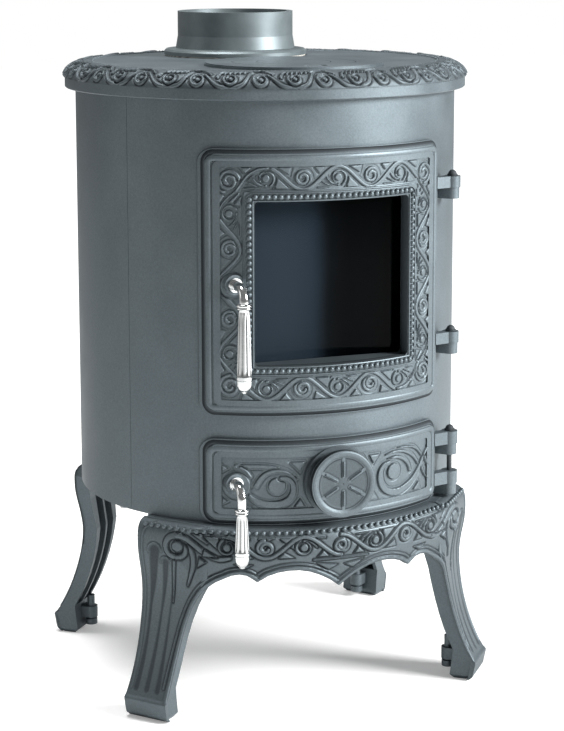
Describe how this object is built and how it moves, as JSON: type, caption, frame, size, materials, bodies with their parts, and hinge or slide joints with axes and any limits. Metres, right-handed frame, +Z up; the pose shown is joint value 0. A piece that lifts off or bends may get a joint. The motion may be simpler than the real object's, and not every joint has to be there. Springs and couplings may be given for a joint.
{
  "type": "wood stove",
  "caption": "Round upright cast-iron room heater on cabriole legs, with a scrolled rim, top flue spigot, glazed fire door, ash door with a screw air wheel and hanging plated handles.",
  "frame": {"origin": "on the floor, below the axis of the round body", "axes": "+Z up, -Y to the front where the doors face, +X to the side of the door hinges"},
  "size_m": [0.4019, 0.4155, 0.665],
  "materials": {
    "cast_iron": "stove-blacked graphite grey, matt, fine cast grain",
    "dark_iron": "bare dark iron, matt",
    "nickel": "bright nickel plate, lightly handled",
    "steel": "plain turned steel",
    "sheet_steel": "black painted sheet steel",
    "ceramic_glass": "clear ceramic glass, slightly smoked",
    "rope_seal": "knitted glass-fibre rope, grey-white"
  },
  "bodies": {
    "stove": {"base_plate": "dark_iron", "front_shell": "cast_iron", "left_shell": "cast_iron", "right_shell": "cast_iron", "top_plate": "cast_iron", "flue_collar": "cast_iron", "flue_gasket": "rope_seal", "flue_bolts": "steel", "tie_rods": "steel", "tie_rod_nuts": "steel", "front_leg_frame": "cast_iron", "rear_left_leg": "cast_iron", "rear_right_leg": "cast_iron", "leg_bolts": "steel", "leg_nuts": "steel", "levelling_screws": "steel", "hearth_plate": "dark_iron", "grate": "dark_iron", "baffle_plate": "dark_iron", "ash_pan": "sheet_steel", "ash_pan_handle": "steel", "upper_hinge_pin": "dark_iron", "lower_hinge_pin": "dark_iron", "ash_hinge_pin": "dark_iron"},
    "fire_door": {"fire_door": "cast_iron", "window_glass": "ceramic_glass", "window_gasket": "rope_seal", "glass_clips": "steel", "glass_screws": "steel", "fire_door_rope": "rope_seal"},
    "fire_handle": {"fire_spindle": "nickel", "fire_ferrule": "nickel", "fire_grip": "nickel", "fire_grip_nut": "nickel", "fire_tongue": "steel", "fire_latch_nut": "steel"},
    "ash_door": {"ash_door": "cast_iron", "ash_door_rope": "rope_seal", "air_stud": "steel", "air_stud_nut": "steel"},
    "ash_handle": {"ash_spindle": "nickel", "ash_ferrule": "nickel", "ash_grip": "nickel", "ash_grip_nut": "nickel", "ash_tongue": "steel", "ash_latch_nut": "steel"},
    "air_washer": {"air_washer": "steel"},
    "air_wheel": {"air_wheel": "cast_iron"},
    "hob_lid": {"hob_lid": "cast_iron"}
  },
  "joints": [
    {"name": "fire_door_swing", "type": "hinge", "parent": "stove", "child": "fire_door", "pos_m": [0.1391, -0.14922, 0.4235], "axis": [0, 0, 1], "range_deg": [0, 110]},
    {"name": "fire_handle_turn", "type": "hinge", "parent": "fire_door", "child": "fire_handle", "pos_m": [-0.0948, -0.178, 0.4235], "axis": [0, 1, 0], "range_deg": [-25, 90]},
    {"name": "ash_door_swing", "type": "hinge", "parent": "stove", "child": "ash_door", "pos_m": [0.1391, -0.14922, 0.2338], "axis": [0, 0, 1], "range_deg": [0, 110]},
    {"name": "ash_handle_turn", "type": "hinge", "parent": "ash_door", "child": "ash_handle", "pos_m": [-0.0948, -0.178, 0.2338], "axis": [0, 1, 0], "range_deg": [0, 25]},
    {"name": "air_washer_travel", "type": "slide", "parent": "ash_door", "child": "air_washer", "axis": [0, -1, 0], "range_m": [-0.00631, 0.00301]},
    {"name": "air_wheel_turn", "type": "hinge", "parent": "air_washer", "child": "air_wheel", "pos_m": [0, -0.201, 0.2338], "axis": [0, -1, 0], "range_deg": [-1512, 720]},
    {"name": "hob_lid_lift", "type": "slide", "parent": "stove", "child": "hob_lid", "axis": [0, 0, 1], "range_m": [0, 0.12]}
  ],
  "couplings": [
    {"joint": "air_washer_travel", "follows": "air_wheel_turn", "m_per_rad": 0.00023873}
  ]
}
